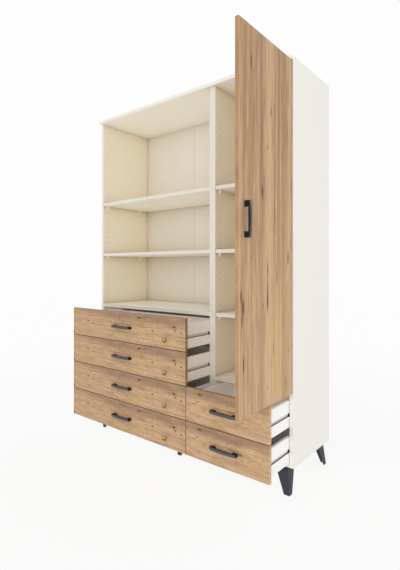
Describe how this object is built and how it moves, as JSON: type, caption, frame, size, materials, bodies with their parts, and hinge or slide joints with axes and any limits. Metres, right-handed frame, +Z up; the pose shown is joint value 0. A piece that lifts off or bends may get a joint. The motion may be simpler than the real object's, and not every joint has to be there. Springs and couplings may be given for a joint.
{
  "type": "tall cabinet with drawers",
  "caption": "Tall cabinet with an open shelf bay, a narrow bay behind a hinged door, stacked pull-out drawers below and splayed folded-steel feet.",
  "frame": {"origin": "on the floor, under the middle of the carcass's width and of its side panels' depth", "axes": "+Z up, +Y from the front to the back, +X to the right as seen from the front"},
  "size_m": [1.3387, 0.8561, 1.943],
  "materials": {
    "carcass_white": "cream-white melamine on chipboard, matt, edges banded",
    "back_white": "cream-white printed thin fibreboard, matt",
    "oak_board": "knotty oak decor on chipboard, matt, with embossed pores",
    "drawer_white": "white foil on chipboard and fibreboard, matt",
    "handle_graphite": "graphite powder coat, satin",
    "foot_anthracite": "anthracite powder coat on folded sheet steel, satin",
    "hinge_steel": "nickel-plated pressed steel",
    "runner_black": "black moulded plastic rail",
    "plastic_white": "white moulded plastic"
  },
  "bodies": {
    "carcass": {"top_panel": "carcass_white", "bottom_panel": "carcass_white", "left_side_panel": "carcass_white", "right_side_panel": "carcass_white", "divider_left_board": "carcass_white", "divider_right_board": "carcass_white", "left_fixed_shelf": "carcass_white", "right_fixed_shelf": "carcass_white", "left_shelf_upper": "carcass_white", "left_shelf_lower": "carcass_white", "right_shelf_upper": "carcass_white", "right_shelf_middle": "carcass_white", "right_shelf_lower": "carcass_white", "back_panel_left": "back_white", "back_panel_middle": "back_white", "back_panel_right": "back_white", "back_joint_strip": "plastic_white", "shelf_pins": "plastic_white", "drawer_runners": "runner_black", "foot_front_left": "foot_anthracite", "foot_front_middle": "foot_anthracite", "foot_front_right": "foot_anthracite", "foot_rear_left": "foot_anthracite", "foot_rear_middle": "foot_anthracite", "foot_rear_right": "foot_anthracite", "hinge_mounting_plates": "hinge_steel", "hinge_arms": "hinge_steel"},
    "door": {"door_panel": "oak_board", "door_handle": "handle_graphite", "hinge_cups": "hinge_steel"},
    "drawer_left_1": {"drawer_left_1_front": "oak_board", "drawer_left_1_sides": "drawer_white", "drawer_left_1_back": "drawer_white", "drawer_left_1_bottom": "drawer_white", "drawer_left_1_handle": "handle_graphite"},
    "drawer_left_2": {"drawer_left_2_front": "oak_board", "drawer_left_2_sides": "drawer_white", "drawer_left_2_back": "drawer_white", "drawer_left_2_bottom": "drawer_white", "drawer_left_2_handle": "handle_graphite"},
    "drawer_left_3": {"drawer_left_3_front": "oak_board", "drawer_left_3_sides": "drawer_white", "drawer_left_3_back": "drawer_white", "drawer_left_3_bottom": "drawer_white", "drawer_left_3_handle": "handle_graphite"},
    "drawer_left_4": {"drawer_left_4_front": "oak_board", "drawer_left_4_sides": "drawer_white", "drawer_left_4_back": "drawer_white", "drawer_left_4_bottom": "drawer_white", "drawer_left_4_handle": "handle_graphite"},
    "drawer_right_1": {"drawer_right_1_front": "oak_board", "drawer_right_1_sides": "drawer_white", "drawer_right_1_back": "drawer_white", "drawer_right_1_bottom": "drawer_white", "drawer_right_1_handle": "handle_graphite"},
    "drawer_right_2": {"drawer_right_2_front": "oak_board", "drawer_right_2_sides": "drawer_white", "drawer_right_2_back": "drawer_white", "drawer_right_2_bottom": "drawer_white", "drawer_right_2_handle": "handle_graphite"}
  },
  "joints": [
    {"name": "door_hinge", "type": "hinge", "parent": "carcass", "child": "door", "pos_m": [0.64892, -0.21825, 1.18875], "axis": [0, 0, 1], "range_deg": [-90, 5]},
    {"name": "drawer_left_1_slide", "type": "slide", "parent": "carcass", "child": "drawer_left_1", "axis": [0, -1, 0], "range_m": [-0.194, 0.075]},
    {"name": "drawer_left_2_slide", "type": "slide", "parent": "carcass", "child": "drawer_left_2", "axis": [0, -1, 0], "range_m": [-0.194, 0.075]},
    {"name": "drawer_left_3_slide", "type": "slide", "parent": "carcass", "child": "drawer_left_3", "axis": [0, -1, 0], "range_m": [-0.194, 0.075]},
    {"name": "drawer_left_4_slide", "type": "slide", "parent": "carcass", "child": "drawer_left_4", "axis": [0, -1, 0], "range_m": [-0.194, 0.075]},
    {"name": "drawer_right_1_slide", "type": "slide", "parent": "carcass", "child": "drawer_right_1", "axis": [0, -1, 0], "range_m": [-0.194, 0.075]},
    {"name": "drawer_right_2_slide", "type": "slide", "parent": "carcass", "child": "drawer_right_2", "axis": [0, -1, 0], "range_m": [-0.194, 0.075]}
  ]
}
